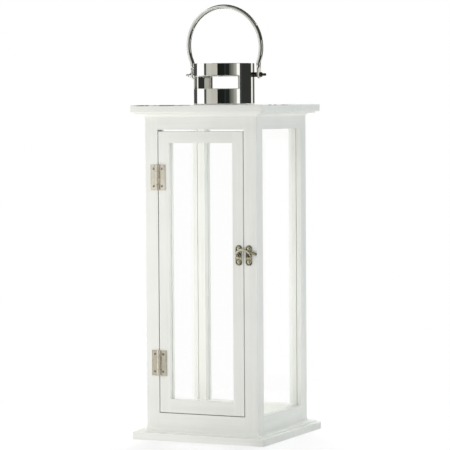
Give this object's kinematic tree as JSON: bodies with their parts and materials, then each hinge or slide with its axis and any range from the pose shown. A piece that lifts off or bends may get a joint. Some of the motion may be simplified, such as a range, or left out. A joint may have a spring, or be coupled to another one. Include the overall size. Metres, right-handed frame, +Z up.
{
  "type": "candle lantern",
  "caption": "Tall square white wooden candle lantern with glass sides, a hinged glass door with a hook latch, and a polished vented chimney with a swinging bail handle.",
  "frame": {"origin": "middle of the base board's underside", "axes": "+Z up through the chimney; the door faces -Y, with its hinges on the -X side and its latch on the +X side"},
  "size_m": [0.2128, 0.2128, 0.6402],
  "materials": {
    "white_paint": "satin white paint on wood",
    "bare_wood": "unfinished hardwood",
    "clear_glass": "clear sheet glass",
    "polished_steel": "mirror polished",
    "warm_nickel": "satin warm nickel plate",
    "dark_screws": "dull dark plated"
  },
  "bodies": {
    "frame": {"base_board": "white_paint", "roof_board": "white_paint", "base_moulding_front": "white_paint", "base_moulding_right": "white_paint", "base_moulding_back": "white_paint", "base_moulding_left": "white_paint", "roof_moulding_front": "white_paint", "roof_moulding_right": "white_paint", "roof_moulding_back": "white_paint", "roof_moulding_left": "white_paint", "post_front_right": "white_paint", "post_back_right": "white_paint", "post_back_left": "white_paint", "post_front_left": "white_paint", "top_rail_front": "white_paint", "top_rail_right": "white_paint", "top_rail_back": "white_paint", "top_rail_left": "white_paint", "bottom_rail_front": "white_paint", "bottom_rail_right": "white_paint", "bottom_rail_back": "white_paint", "bottom_rail_left": "white_paint", "glass_right": "clear_glass", "glass_back": "clear_glass", "glass_left": "clear_glass", "chimney_tube": "polished_steel", "chimney_cap": "polished_steel", "bail_pivot_screws": "polished_steel", "bail_spacers": "polished_steel", "bail_nuts": "polished_steel", "hinge_leaf_frame_upper": "warm_nickel", "hinge_leaf_frame_lower": "warm_nickel", "hinge_pin_upper": "warm_nickel", "hinge_pin_lower": "warm_nickel", "catch_plate": "warm_nickel", "base_screws": "dark_screws", "frame_hinge_screws": "dark_screws", "catch_plate_nails": "dark_screws", "chimney_screws": "dark_screws", "rail_dowels": "bare_wood", "roof_dowels": "bare_wood"},
    "door": {"door_stile_hinge": "white_paint", "door_stile_latch": "white_paint", "door_rail_top": "white_paint", "door_rail_bottom": "white_paint", "door_glass": "clear_glass", "hinge_leaf_door_upper": "warm_nickel", "hinge_leaf_door_lower": "warm_nickel", "hook_plate": "warm_nickel", "hook_rivet": "warm_nickel", "door_hinge_screws": "dark_screws", "hook_plate_nails": "dark_screws", "door_dowels": "bare_wood"},
    "hook": {"latch_hook": "warm_nickel"},
    "bail": {"bail": "polished_steel"}
  },
  "joints": [
    {"name": "door_swing", "type": "hinge", "parent": "frame", "child": "door", "pos_m": [-0.0688, -0.0925, 0.247], "axis": [0, 0, -1], "range_deg": [0, 175]},
    {"name": "hook_lift", "type": "hinge", "parent": "door", "child": "hook", "pos_m": [0.0608, -0.0936, 0.2743], "axis": [0, -1, 0], "range_deg": [0, 100]},
    {"name": "bail_swing", "type": "hinge", "parent": "frame", "child": "bail", "pos_m": [0, 0, 0.536], "axis": [1, 0, 0], "range_deg": [-117, 108.5]}
  ]
}
